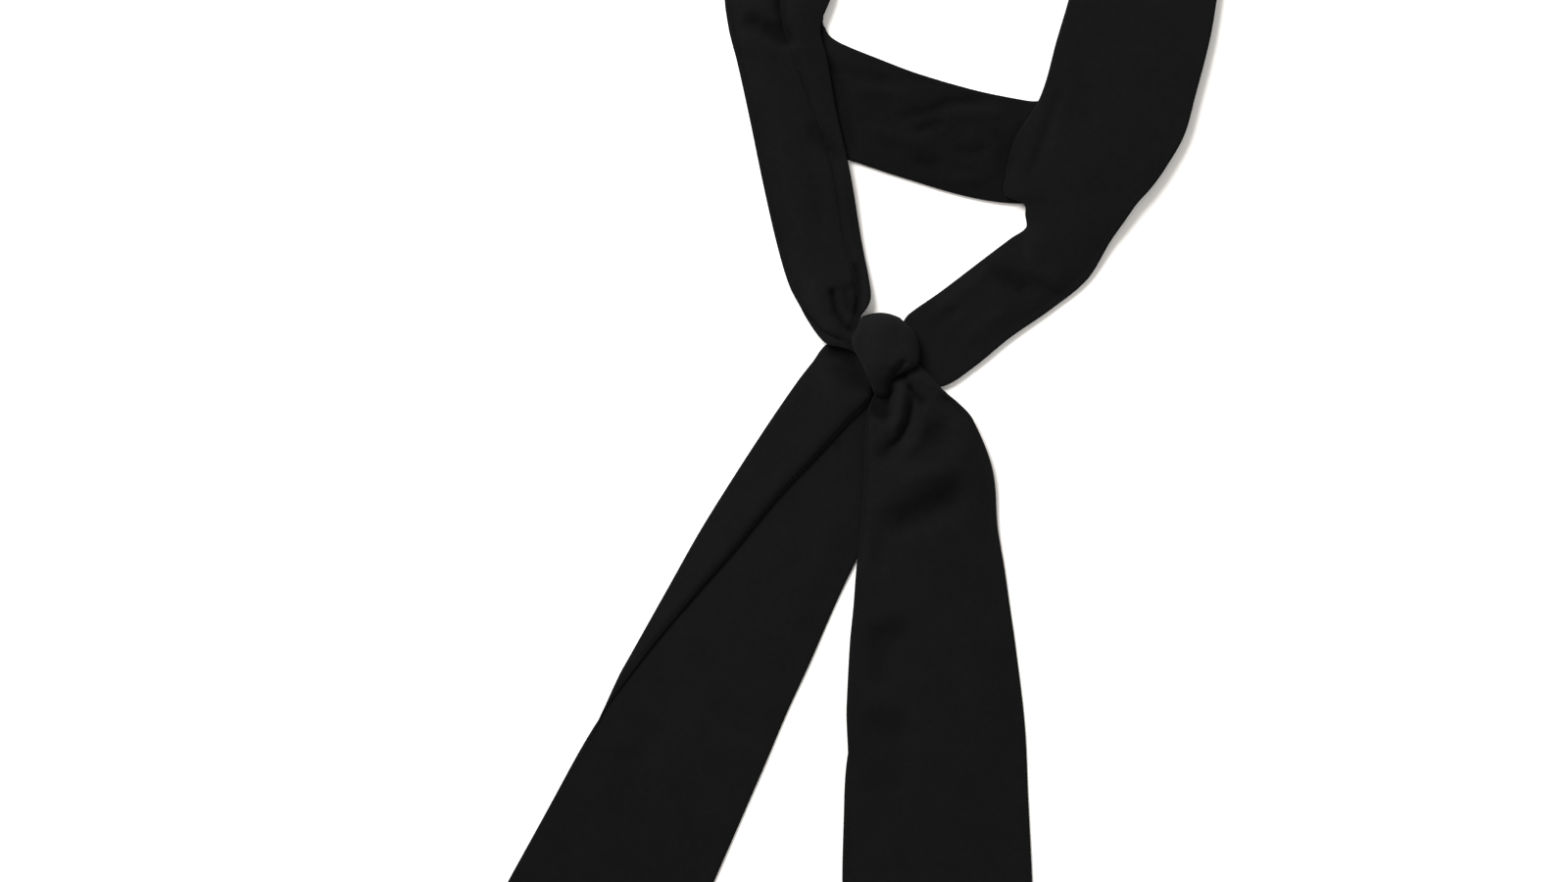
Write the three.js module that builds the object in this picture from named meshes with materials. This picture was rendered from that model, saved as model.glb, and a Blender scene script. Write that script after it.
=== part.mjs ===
// A long narrow scarf of soft black cloth, laid flat on a table as it is worn.
// The cloth goes round the neck twice, and its two ends are tied in one overhand knot and hang down.
// Millimetres, +Z up. The table is the plane z = 0, and the origin lies on it under the middle of the knot.
// +Y runs from the knot to the nape and +X to the right, as the scarf is seen from above.
// The cloth is cut 100 wide. Where it shows narrower, it is folded lengthwise or gathered.
import * as THREE from "three";

// Cloth
const CLOTH = 1.2; // thickness of the wall
const LAYER_GAP = 0.4; // clearance between two layers that lie on each other
const LAYER = CLOTH + LAYER_GAP; // from the middle of one layer to the middle of the next
const HEM = 3; // an edge that isn't folded further is turned by this much
const ON_TABLE = CLOTH / 2; // height of the middle of a layer that lies on the table
const ON_ONE = ON_TABLE + LAYER; // the same, on one other layer
const ON_TWO = ON_TABLE + 2 * LAYER;
const ON_THREE = ON_TABLE + 3 * LAYER;

// Nape: the round stretch of the neck loop, from the left side over the back to the right side
const NAPE = { x: 48, y: 216, acrossRadius: 135, alongRadius: 131 };

const ARC_POINTS = 4; // points of a fold's bend

// Rows of a table as objects with named columns.
function table(columns, rows) {
  return rows.map((row) => Object.fromEntries(row.map((v, i) => [columns[i], v])));
}

// A row across the nape: the angle is seen from the middle of the loop, 0 on the right and 90 at the back.
function napeRow({ angle, inset, width, outerZ, innerZ, flap }) {
  const turn = THREE.MathUtils.degToRad(angle);
  const at = (depth) => [
    NAPE.x + (NAPE.acrossRadius - depth) * Math.cos(turn),
    NAPE.y + (NAPE.alongRadius - depth) * Math.sin(turn),
  ];
  const [ax, ay] = at(inset);
  const [bx, by] = at(inset + width);
  return { ax, ay, az: outerZ, bx, by, bz: innerZ, flap };
}

const COLUMNS = ["ax", "ay", "az", "bx", "by", "bz", "flap", "crown", "pleat", "turn"];
const NAPE_COLUMNS = ["angle", "inset", "width", "outerZ", "innerZ", "flap"];

// Every stretch of cloth is a table with a row for each section.
// a and b are the two side edges of the panel that shows, and flap is the width folded over or under it
// at one side. crown is how far its middle is arched, pleat how deep it is gathered,
// and turn tips its face from upright.

// The stretch across the throat, the lowest layer. It starts on the right under the right strand,
// turns to the left, crosses, and turns up again under the left strand. a is the neck side.
const THROAT = table(COLUMNS, [
  [108, 190, ON_ONE, 164, 190, ON_ONE, 42],
  [102, 166, ON_ONE, 162, 172, ON_ONE, 40],
  [94, 149, ON_ONE, 158, 145, ON_ONE, 38],
  [89, 141, ON_ONE, 148, 119, ON_ONE, 38],
  [86, 138, ON_ONE, 130, 97, ON_ONE, 38],
  [81, 136, ON_ONE, 103, 83, ON_ONE, 38],
  [72, 137, ON_ONE, 72, 81, ON_ONE, 38],
  [48, 142, ON_ONE, 45, 84, ON_ONE, 38],
  [17, 151, ON_ONE, 11, 92, ON_ONE, 38],
  [-4, 159, ON_ONE, -12, 98, ON_ONE, 38],
  [-19, 165, ON_ONE, -36, 107, ON_ONE, 36],
  [-27, 169, ON_ONE, -57, 125, ON_ONE, 34],
  [-31, 173, ON_ONE, -69, 149, ON_ONE, 32],
  [-33, 181, ON_ONE, -76, 170, ON_ONE, 32],
  [-33, 193, ON_ONE, -79, 193, ON_ONE, 34],
]);

// The left strand, from the knot up the left side, round the nape and down under the right strand.
const LEFT_STRAND = [
  ...table(COLUMNS, [
    [-7, -10, 5.6, 6, 3, 5.6, 6, 1, 0],
    [-19, -3, 5.6, -6.5, 9.5, 5.6, 7, 1, 0.8],
    [-31, 5, 4.4, -16, 20, 5.3, 8, 1.5, 1.6],
    [-43, 21, 2, -7, 28, 3.4, 9, 1, 1.6],
    [-52, 36, 1, -6, 37, 2, 8, 0.6, 0.8],
    [-59, 59, 1, -11, 61, 1.6, 8, 0.4, 0],
    [-67, 93, ON_TWO, -17, 96, ON_TWO, 9, 0, 0],
    [-74, 127, ON_TWO, -24, 130, ON_TWO, 11, 0, 0],
    [-80, 156, ON_TWO, -29, 158, ON_TWO, 16, 0, 0],
    [-85, 175, ON_TWO, -33, 175, ON_TWO, 20, 0, 0],
    [-87, 196, ON_TWO, -27, 194, ON_TWO, 28, 0, 0],
  ]),
  ...table(NAPE_COLUMNS, [
    [170, 0, 61, ON_TWO, ON_TWO, 28],
    [155, 0, 56, 3.8, 4.2, 28],
    [142, 0, 49, 2.6, 4.3, 28],
    [129, 0, 42, ON_TABLE, 3.6, 28],
    [116, 0, 38, ON_TABLE, 2.4, 28],
    [100, 0, 37, ON_TABLE, ON_TABLE, 28],
    [80, 0, 37, ON_TABLE, ON_TABLE, 28],
    [60, 1, 39, ON_TABLE, ON_TABLE, 30],
    [40, 3, 45, ON_TABLE, ON_TABLE, 32],
    [20, 6, 51, ON_TABLE, ON_TABLE, 34],
    [0, 8, 56, ON_TABLE, ON_TABLE, 36],
  ]).map(napeRow),
  ...table(COLUMNS, [[164, 190.4, ON_TABLE, 108, 190.4, ON_TABLE, 40]]),
];

// The right strand, from under the left strand round the nape, down the right side and behind the knot.
const RIGHT_STRAND = [
  ...table(COLUMNS, [[-79, 193.4, ON_ONE, -33, 193.4, ON_ONE, 34]]),
  ...table(NAPE_COLUMNS, [
    [170, 9, 47, ON_ONE, ON_ONE, 34],
    [155, 20, 45, ON_ONE, ON_ONE, 32],
    [142, 33, 38, ON_ONE, ON_ONE, 30],
    [129, 44, 32, ON_ONE, ON_ONE, 28],
    [116, 41, 38, ON_ONE, ON_ONE, 28],
    [100, 41, 40, ON_ONE, ON_ONE, 28],
    [80, 41, 40, 2.8, ON_ONE, 28],
    [64, 37, 43, 4, ON_ONE, 28],
    [50, 28, 51, ON_THREE, 3, 26],
    [25, 8, 70, ON_THREE, 3.6, 20],
    [5, 0, 78, ON_THREE, ON_THREE, 14],
  ]).map(napeRow),
  ...table(COLUMNS, [
    [178, 193, ON_THREE, 99, 193, ON_THREE, 12],
    [174, 169, ON_THREE, 92, 169, ON_THREE, 12],
    [166, 138, ON_THREE, 83, 138, ON_THREE, 12],
    [160, 117, ON_THREE, 69, 115, ON_THREE, 12],
    [149, 98, ON_THREE, 65, 93, ON_THREE, 14],
    [134, 80, ON_THREE, 73, 79, ON_THREE, 18],
    [121, 61, 4, 75, 68, ON_THREE, 20],
    [109, 41, ON_ONE, 67, 62, 4.6, 22],
    [90, 25, ON_ONE, 51, 50, ON_ONE, 22],
    [67, 9, ON_ONE, 30, 34, ON_ONE, 22],
    [46, -8, ON_ONE, 13, 22, ON_ONE, 22],
    [31, -17, ON_ONE, 9, 17, ON_ONE, 20],
    [14, -16, ON_ONE, 4.6, 15, ON_ONE, 16],
  ]),
];

// The turn of cloth round the knot, from behind it over the top, down the front and in again.
const KNOT_TURN = table(COLUMNS, [
  [-12, 6, 4, 9, 6, 4, HEM, 0, 0, 180],
  [-12, 14, 4, 13, 14, 4, HEM, 0, 0, 180],
  [-10, 21.5, 5.5, 7, 22, 5.5, HEM, 0.5, 0, 130],
  [-12, 23, 9, 5, 23.5, 9, HEM, 1, 0, 90],
  [-16, 18.5, 11, 11, 19, 10, HEM, 3, 0, 30],
  [-20, 8, 10.4, 18, 6, 9, HEM, 4.5, 0, 0],
  [-15, -3, 10, 14, -5, 10.6, HEM, 4.5, 0, 0],
  [-10, -12, 9, 3, -13, 10.2, HEM, 2.5, 0, -15],
  [-7, -19, 7, 0.5, -19.5, 8, HEM, 1, 0, -50],
  [-6, -21, 4.4, -0.5, -21, 5, HEM, 0, 0, -80],
]);

// The tail on the left, folded over along its left side from the knot until the fold runs out.
const LEFT_TAIL = table(COLUMNS, [
  [4, 14, ON_TABLE, 13, -15, ON_TABLE, 20],
  [-33, 7, ON_TABLE, 4, -24, ON_TABLE, 32],
  [-46.5, -14, ON_TABLE, 2, -50, ON_TABLE, 33],
  [-62, -36, ON_TABLE, 0, -77, ON_TABLE, 30],
  [-79, -62, ON_TABLE, -11.5, -102, ON_TABLE, 25],
  [-99, -94, ON_TABLE, -26.5, -134, ON_TABLE, 20],
  [-117, -126, ON_TABLE, -40.5, -166, ON_TABLE, 12.5],
  [-131, -151, ON_TABLE, -52.5, -192, ON_TABLE, 7],
  [-145.5, -177, ON_TABLE, -63.5, -218, ON_TABLE, 4.5],
  [-173.5, -230, ON_TABLE, -87, -272, ON_TABLE, HEM],
  [-202, -282, ON_TABLE, -111, -327, ON_TABLE, HEM],
  [-209, -295, ON_TABLE, -117, -340, ON_TABLE, HEM],
]);

// The tail on the right, gathered in pleats where it leaves the knot, over the other tail.
const RIGHT_TAIL = table(COLUMNS, [
  [-4.4, -9.6, 5.4, 7.6, 2.4, 5.4, 6, 1, 0],
  [5.5, -18, 5.8, 21, -7, 5.8, 8, 1, 1.2],
  [-3, -29, 5.4, 30.5, -19, 4, 14, 2, 3],
  [-9, -45, 5, 45.5, -33.5, 2.4, 18, 2, 3.4],
  [-11, -63, 4.4, 57, -61, ON_ONE, 20, 1.5, 1.6],
  [-13, -93, 4.2, 60.5, -93, ON_TABLE, 16, 0.6, 0.3],
  [-15, -114, 4.2, 64, -114, ON_TABLE, 14, 0, 0],
  [-17, -135, 3, 67, -135, ON_TABLE, 11, 0, 0],
  [-19, -156, ON_ONE, 70, -156, ON_TABLE, 8, 0, 0],
  [-21, -198, ON_ONE, 75, -198, ON_TABLE, 4, 0, 0],
  [-22, -240, ON_ONE, 77, -240, ON_TABLE, HEM, 0, 0],
  [-23, -282, ON_ONE, 79, -282, ON_TABLE, HEM, 0, 0],
  [-22, -314, ON_ONE, 80, -314, ON_TABLE, HEM, 0, 0],
]);

// A smooth run of sections through the rows: each column is a cubic through its values,
// along the distance that the middle of the panel goes. Over 1, crowd sets them closer together at the start.
function smoothRows(rows, count, crowd) {
  const full = rows.map((row) => ({ flap: HEM, crown: 0, pleat: 0, turn: 0, ...row }));
  const middle = (r) => new THREE.Vector3((r.ax + r.bx) / 2, (r.ay + r.by) / 2, (r.az + r.bz) / 2);
  const at = [0];
  for (let i = 1; i < full.length; i++) {
    at.push(at[i - 1] + middle(full[i]).distanceTo(middle(full[i - 1])));
  }
  const slope = (name, i) => {
    const before = Math.max(i - 1, 0);
    const after = Math.min(i + 1, full.length - 1);
    return (full[after][name] - full[before][name]) / (at[after] - at[before]);
  };
  const section = (distance) => {
    let i = at.findIndex((d) => d > distance) - 1;
    if (i < 0) i = full.length - 2;
    const span = at[i + 1] - at[i];
    const t = (distance - at[i]) / span;
    const value = (name) => {
      const start = full[i][name];
      const rise = full[i + 1][name] - start;
      const out = slope(name, i) * span;
      const into = slope(name, i + 1) * span;
      return start + out * t + (3 * rise - 2 * out - into) * t ** 2 + (out + into - 2 * rise) * t ** 3;
    };
    return Object.fromEntries(COLUMNS.map((name) => [name, value(name)]));
  };
  const total = at[at.length - 1];
  return Array.from({ length: count + 1 }, (_, k) => section(total * (k / count) ** crowd));
}

// The middle line of a folded section, as [across, up] points: the panel, then the bend and the flap.
function foldedLine(width, row, { panelPoints, flapPoints, pleats, side }) {
  const radius = LAYER / 2;
  const panel = width - radius - CLOTH / 2;
  const arch = (x) => row.crown * (1 - ((2 * x) / panel - 1) ** 2);
  const line = [];
  for (let i = 0; i < panelPoints; i++) {
    const u = i / (panelPoints - 1);
    const gather = row.pleat * (0.5 - 0.5 * Math.cos(2 * Math.PI * pleats * u));
    line.push([u * panel, arch(u * panel) + gather]);
  }
  for (let i = 1; i <= ARC_POINTS; i++) {
    const turn = (Math.PI * i) / ARC_POINTS;
    line.push([panel + radius * Math.sin(turn), side * radius * (1 - Math.cos(turn))]);
  }
  const flap = Math.max(row.flap, HEM);
  for (let i = 1; i <= flapPoints; i++) {
    const x = panel - (flap * i) / flapPoints;
    line.push([x, arch(x) + side * LAYER]);
  }
  return line;
}

// The two sides of a wall of the cloth's thickness along a line.
function wallSides(line) {
  return line.map((point, i) => {
    const [x0, z0] = line[Math.max(i - 1, 0)];
    const [x1, z1] = line[Math.min(i + 1, line.length - 1)];
    const length = Math.hypot(x1 - x0, z1 - z0);
    const nx = (-(z1 - z0) / length) * (CLOTH / 2);
    const nz = ((x1 - x0) / length) * (CLOTH / 2);
    return [
      [point[0] + nx, point[1] + nz],
      [point[0] - nx, point[1] - nz],
    ];
  });
}

// One closed stretch of cloth lofted through its rows.
// foldAt is the edge that carries the flap, and side is 1 for a flap over the panel, -1 for one under it.
function clothStretch(rows, { sections, crowd = 1, foldAt = "b", ...shape }) {
  const style = { side: -1, panelPoints: 9, flapPoints: 3, pleats: 0, ...shape };
  const grid = smoothRows(rows, sections, crowd).map((row) => {
    const a = new THREE.Vector3(row.ax, row.ay, row.az);
    const b = new THREE.Vector3(row.bx, row.by, row.bz);
    const [start, end] = foldAt === "b" ? [a, b] : [b, a];
    const across = end.clone().sub(start);
    const width = across.length();
    across.normalize();
    const level = new THREE.Vector3(across.y, -across.x, 0).normalize();
    if (foldAt === "b") level.negate();
    const turn = THREE.MathUtils.degToRad(row.turn);
    const up = new THREE.Vector3(0, 0, 1).addScaledVector(across, -across.z).normalize();
    up.multiplyScalar(Math.cos(turn)).addScaledVector(level, Math.sin(turn));
    const place = ([x, z]) => {
      const point = start.clone().addScaledVector(across, x).addScaledVector(up, z);
      return point.setZ(Math.max(point.z, 0));
    };
    return wallSides(foldedLine(width, row, style)).map((pair) => pair.map(place));
  });
  return stretchGeometry(grid);
}

// The closed surface round a grid of [section][point][side] places.
function stretchGeometry(grid) {
  const points = grid[0].length;
  const positions = grid.flat(2).flatMap((p) => [p.x, p.y, p.z]);
  const at = (section, point, side) => (section * points + point) * 2 + side;
  const faces = [];
  const quad = (p, q, r, s) => faces.push(p, q, r, p, r, s);
  const last = grid.length - 1;
  for (let j = 0; j < last; j++) {
    for (let i = 0; i < points - 1; i++) {
      quad(at(j, i, 0), at(j, i + 1, 0), at(j + 1, i + 1, 0), at(j + 1, i, 0));
      quad(at(j, i, 1), at(j + 1, i, 1), at(j + 1, i + 1, 1), at(j, i + 1, 1));
    }
    quad(at(j, 0, 0), at(j + 1, 0, 0), at(j + 1, 0, 1), at(j, 0, 1));
    quad(at(j, points - 1, 1), at(j + 1, points - 1, 1), at(j + 1, points - 1, 0), at(j, points - 1, 0));
  }
  for (let i = 0; i < points - 1; i++) {
    quad(at(0, i, 0), at(0, i, 1), at(0, i + 1, 1), at(0, i + 1, 0));
    quad(at(last, i, 1), at(last, i, 0), at(last, i + 1, 0), at(last, i + 1, 1));
  }
  const geometry = new THREE.BufferGeometry();
  geometry.setAttribute("position", new THREE.Float32BufferAttribute(positions, 3));
  geometry.setIndex(signedVolume(positions, faces) < 0 ? faces.reverse() : faces);
  geometry.computeVertexNormals();
  return geometry;
}

function signedVolume(positions, faces) {
  const corner = (i) => new THREE.Vector3().fromArray(positions, 3 * faces[i]);
  let sum = 0;
  for (let i = 0; i < faces.length; i += 3) {
    sum += corner(i).dot(corner(i + 1).cross(corner(i + 2)));
  }
  return sum / 6;
}

const blackCloth = () => new THREE.MeshStandardMaterial({ color: 0x181818, roughness: 0.95, metalness: 0 });

function piece(name, geometry) {
  const mesh = new THREE.Mesh(geometry, blackCloth());
  mesh.name = name;
  return mesh;
}

const throatBand = clothStretch(THROAT, { sections: 34 });
const leftStrand = clothStretch(LEFT_STRAND, {
  sections: 60,
  crowd: 1.3,
  side: 1,
  pleats: 2,
  panelPoints: 10,
});
const rightStrand = clothStretch(RIGHT_STRAND, { sections: 56 });
const knotTurn = clothStretch(KNOT_TURN, { sections: 26, flapPoints: 1, panelPoints: 11 });
const leftTail = clothStretch(LEFT_TAIL, { sections: 26, crowd: 1.2, foldAt: "a", side: 1 });
const rightTail = clothStretch(RIGHT_TAIL, {
  sections: 34,
  crowd: 1.5,
  foldAt: "a",
  pleats: 3,
  panelPoints: 16,
});

const scarf = new THREE.Group();
scarf.add(
  piece("throat_band", throatBand),
  piece("left_neck_strand", leftStrand),
  piece("right_neck_strand", rightStrand),
  piece("knot_turn", knotTurn),
  piece("left_tail", leftTail),
  piece("right_tail", rightTail),
);

export default scarf;
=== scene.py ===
"""A long narrow scarf of soft black cloth, laid flat as it is worn and tied in one overhand knot.

Tables are in millimetres, on the part's own axes: +Y from the knot to the nape, +X to the right and
+Z up from the table, with the origin on the table under the knot. Blender gets metres.
"""

import logging
import math
from dataclasses import dataclass, field
from enum import Enum

import bmesh
import bpy
import numpy as np
from bpy.types import ID, GeometryNodeTree, Material, Node, NodeSocket, NodeTree, Object
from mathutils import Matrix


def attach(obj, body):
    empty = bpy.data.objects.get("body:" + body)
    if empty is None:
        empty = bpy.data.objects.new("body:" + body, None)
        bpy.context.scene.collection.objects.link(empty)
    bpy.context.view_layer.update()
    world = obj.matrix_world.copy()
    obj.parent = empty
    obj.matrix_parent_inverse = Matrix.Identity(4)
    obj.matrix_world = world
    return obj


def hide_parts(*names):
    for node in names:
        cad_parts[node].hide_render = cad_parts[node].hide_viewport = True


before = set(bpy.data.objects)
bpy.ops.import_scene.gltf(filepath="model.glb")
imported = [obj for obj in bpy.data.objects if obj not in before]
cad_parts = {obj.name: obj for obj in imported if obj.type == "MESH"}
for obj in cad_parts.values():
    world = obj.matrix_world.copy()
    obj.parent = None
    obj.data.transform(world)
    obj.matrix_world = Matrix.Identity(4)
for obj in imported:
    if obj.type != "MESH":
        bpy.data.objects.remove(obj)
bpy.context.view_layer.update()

log = logging.getLogger("scarf")

MM = 0.001
BODY = "root"
WALL = 1.0  # thickness of the cloth
LAYER_GAP = 0.6
LAYER = WALL + LAYER_GAP
EDGE_SHARE = 0.4  # how much of the thickness is left at a cut edge, where it is rounded off
EDGE_EASE = 1.6  # width over which the edge and the hem ease into the cloth
CLEAR = 0.02  # room left between the cloth and the table
ON_TABLE = 0.6  # height of the middle of the cloth where it lies on the table
ON_ONE = ON_TABLE + LAYER
ON_TWO = ON_TABLE + 2 * LAYER
ON_THREE = ON_TABLE + 3 * LAYER
HEM = 3.5  # width of the narrow hem along every cut edge
HEM_EXTRA = 0.12  # how much thicker the cloth is there
END_HEM = 2 * HEM  # width of the hem across the end of a tail
END_EASE = 1.0
SEAM = HEM * 0.72  # distance of the stitches from the cut edge
SEAM_DEPTH = 0.45  # how far the thread lies from the middle of the cloth, as a share of its thickness
SEAM_LEAST = 0.4  # least height of the thread above the table
CREASE_SHADE = 0.42  # painted shade: how much darker a millimetre of a crease's depth paints the cloth, as shade falling in the valley
RIDGE_LIGHT = 0.14  # painted light: how much lighter a millimetre of a ridge's height paints the cloth
SHADING_RANGE = (-2.4, 1.4)  # the darkest painted shade and the brightest painted light that the colour follows
KNOT_REACH = 42.0  # how far from the middle of the knot its gathers reach
STEPS = 4000  # short steps that a strip's length is divided into, to place its sections
LEAST_SINK = 0.01  # how far a crease may always sink
TINY = 1e-6  # keeps a division from failing
WAVE_TURN = 20.0  # radians to a metre in Blender's wave texture, at scale 1

Array = np.ndarray
Point = tuple[float, float]
Color = tuple[float, float, float]
Section = dict[str, float]
Key = str | int  # the name or the number of a node's input or output
Values = dict[Key, object]


class Kind(Enum):
    """How a line on the cloth shapes it."""

    SOFT = "soft"  # a rounded ridge, or a valley where the height is below 0
    STEP = "step"  # higher on the left of the line, as over the edge of a layer below


@dataclass(frozen=True)
class Crease:
    """A line that dents or lifts the cloth, as it is seen from above; its dents also paint shade into
    the cloth's colour, and its lifts paint light.
    """

    path: tuple[Point, ...]
    height: float
    width: float
    kind: Kind = Kind.SOFT
    reach: float = 30.0  # how far to its side a step goes on
    fade: float = 0.3  # share of the length over which each end fades out

    def lift(self, x: Array, y: Array) -> Array:
        """Return how far the crease lifts the cloth at each place.

        Args:
            x: places along X, in millimetres.
            y: places along Y, in millimetres.

        Returns:
            The lift in millimetres, of the shape of x.
        """
        line = np.array(self.path)
        steps = np.linalg.norm(np.diff(line, axis=0), axis=1)
        start = np.concatenate([[0.0], np.cumsum(steps)])
        near = np.full(x.shape, np.inf)
        side = np.zeros(x.shape)
        along = np.zeros(x.shape)
        for i, length in enumerate(steps):
            dx, dy = (line[i + 1] - line[i]) / length
            px, py = x - line[i, 0], y - line[i, 1]
            t = np.clip(px * dx + py * dy, 0.0, length)
            gap = np.hypot(px - t * dx, py - t * dy)
            closer = gap < near
            near = np.where(closer, gap, near)
            side = np.where(closer, dx * py - dy * px, side)
            along = np.where(closer, start[i] + t, along)
        share = along / start[-1]
        strength = smooth(np.minimum(share, 1.0 - share) / self.fade)
        if self.kind is Kind.SOFT:
            return self.height * strength * np.exp(-((near / self.width) ** 2))
        rise = smooth(0.5 + np.sign(side) * near / (2 * self.width))
        away = np.exp(-((near / self.reach) ** 2))
        return self.height * strength * rise * away


def smooth(value: Array | float) -> Array | float:
    """Return value clipped to 0..1 and eased at both ends."""
    v = np.clip(value, 0.0, 1.0)
    return v * v * (3.0 - 2.0 * v)


@dataclass(frozen=True)
class Ripple:
    """The slight unevenness of cloth smoothed out by hand, the same for all layers of a place."""

    height: float = 0.5
    waves: int = 26
    shortest: float = 16.0
    longest: float = 95.0
    growth: float = 1.3  # the power by which a longer wave is a higher one
    spread: float = 9.0  # the range of the waves' sum that fills the height
    seed: int = 7

    def lift(self, x: Array, y: Array) -> Array:
        """Return how far the ripple lifts the cloth at each place.

        Args:
            x: places along X, in millimetres.
            y: places along Y, in millimetres.

        Returns:
            The lift in millimetres, of the shape of x.
        """
        draw = np.random.default_rng(self.seed)
        total = np.zeros(x.shape)
        for _ in range(self.waves):
            length = draw.uniform(self.shortest, self.longest)
            turn = draw.uniform(0.0, math.pi)
            phase = draw.uniform(0.0, 2.0 * math.pi)
            way = x * math.cos(turn) + y * math.sin(turn)
            share = (length / self.longest) ** self.growth
            total += share * np.sin(2.0 * math.pi * way / length + phase)
        return self.height * smooth(0.5 + total / self.spread)


@dataclass(frozen=True)
class Nape:
    """The round stretch of the neck loop, from its left side over the back to its right side."""

    x: float = 48.0
    y: float = 216.0
    across: float = 135.0
    along: float = 131.0
    slants: Point = (-4.0, 5.0)  # how far round a pucker runs, in degrees
    heights: tuple[float, ...] = (0.7, 1.0, 1.3)  # of the puckers that follow one another
    widths: tuple[float, ...] = (2.6, 3.3, 4.0, 4.7)
    fade: float = 0.45

    def rows(self, *sections: tuple[float, ...], **shared: float) -> tuple[Section, ...]:
        """Return sections across the nape.

        Args:
            sections: each its angle (in degrees, 0 on the right and 90 at the back), how far its outer
                edge lies inside the loop's outline, its width, the width folded over at its inner edge,
                below 0 where it is folded under, and the heights of both edges if they aren't shared.
            shared: columns that are the same in all of them.

        Returns:
            The sections.
        """
        made = []
        for angle, inset, width, fold, *heights in sections:
            lx, ly = self.place(angle, inset)
            rx, ry = self.place(angle, inset + width)
            level = dict(zip(("lz", "rz"), heights), **shared)
            made.append(dict(lx=lx, ly=ly, rx=rx, ry=ry, right_fold=fold, **level))
        return tuple(made)

    def place(self, angle: float, inset: float) -> Point:
        """Return the place at an angle, a distance inside the loop's outline."""
        turn = math.radians(angle)
        return (
            self.x + (self.across - inset) * math.cos(turn),
            self.y + (self.along - inset) * math.sin(turn),
        )

    def puckers(
        self, angles: tuple[float, ...], inner: float, reach: float, height: float
    ) -> tuple[Crease, ...]:
        """Return the small ridges that the cloth gathers into along its inner side, where it goes round.

        Args:
            angles: where they stand, in degrees.
            inner: how far inside the loop's outline they start.
            reach: how long they are.
            height: of the middling ones.

        Returns:
            The ridges, slanted one way and the other.
        """
        ridges = []
        for i, angle in enumerate(angles):
            slant, width = self.slants[i % 2], self.widths[i % 4]
            path = tuple(self.place(angle + slant * t, inner - reach * t) for t in (0.0, 0.5, 1.0))
            ridges.append(Crease(path, height * self.heights[i % 3], width, fade=self.fade))
        return tuple(ridges)


NAPE = Nape()
PLACE = ("lx", "ly", "lz", "rx", "ry", "rz")
SHAPE = ("left_fold", "right_fold", "crown", "pleat", "turn", "swell", "rise")
# the last column paints light and shade into the cloth's colour
COLUMNS = (*PLACE, *SHAPE, "left_below", "right_below", "pull")


def table(columns: str, *rows: tuple[float, ...], **shared: float) -> tuple[Section, ...]:
    """Return sections from rows of numbers.

    A section has the places of its edges (lx, ly and lz on the left, looking along the strip, and rx, ry
    and rz on the right), left_fold and right_fold (width folded over there, below 0 where it is folded
    under), crown (height of the arch between the edges), pleat (height of its waves), turn (how far it
    tips along the strip, in degrees), swell (1 for a full, round arch), rise (of a flap towards its free
    edge), left_below and right_below (height of the layers under each side) and the painted shading
    (painted light above 0 and painted shade below 0). What isn't given is 0.

    Args:
        columns: the names of the columns, in the rows' order.
        rows: the numbers; the last ones may be left out.
        shared: columns that are the same in all rows.

    Returns:
        The sections.
    """
    names = columns.split()
    return tuple(dict(zip(names, row), **shared) for row in rows)


def creases(*rows: tuple[float | Point, ...]) -> tuple[Crease, ...]:
    """Return soft creases from rows of height, width, fade and the places that each runs through."""
    return tuple(Crease(tuple(path), height, width, fade=fade) for height, width, fade, *path in rows)


FLAT = dict(lz=ON_TABLE, rz=ON_TABLE)
OVER_ONE = dict(lz=ON_ONE, rz=ON_ONE)
OVER_TWO = dict(left_below=2 * LAYER, right_below=2 * LAYER)  # two layers under the whole width
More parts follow.
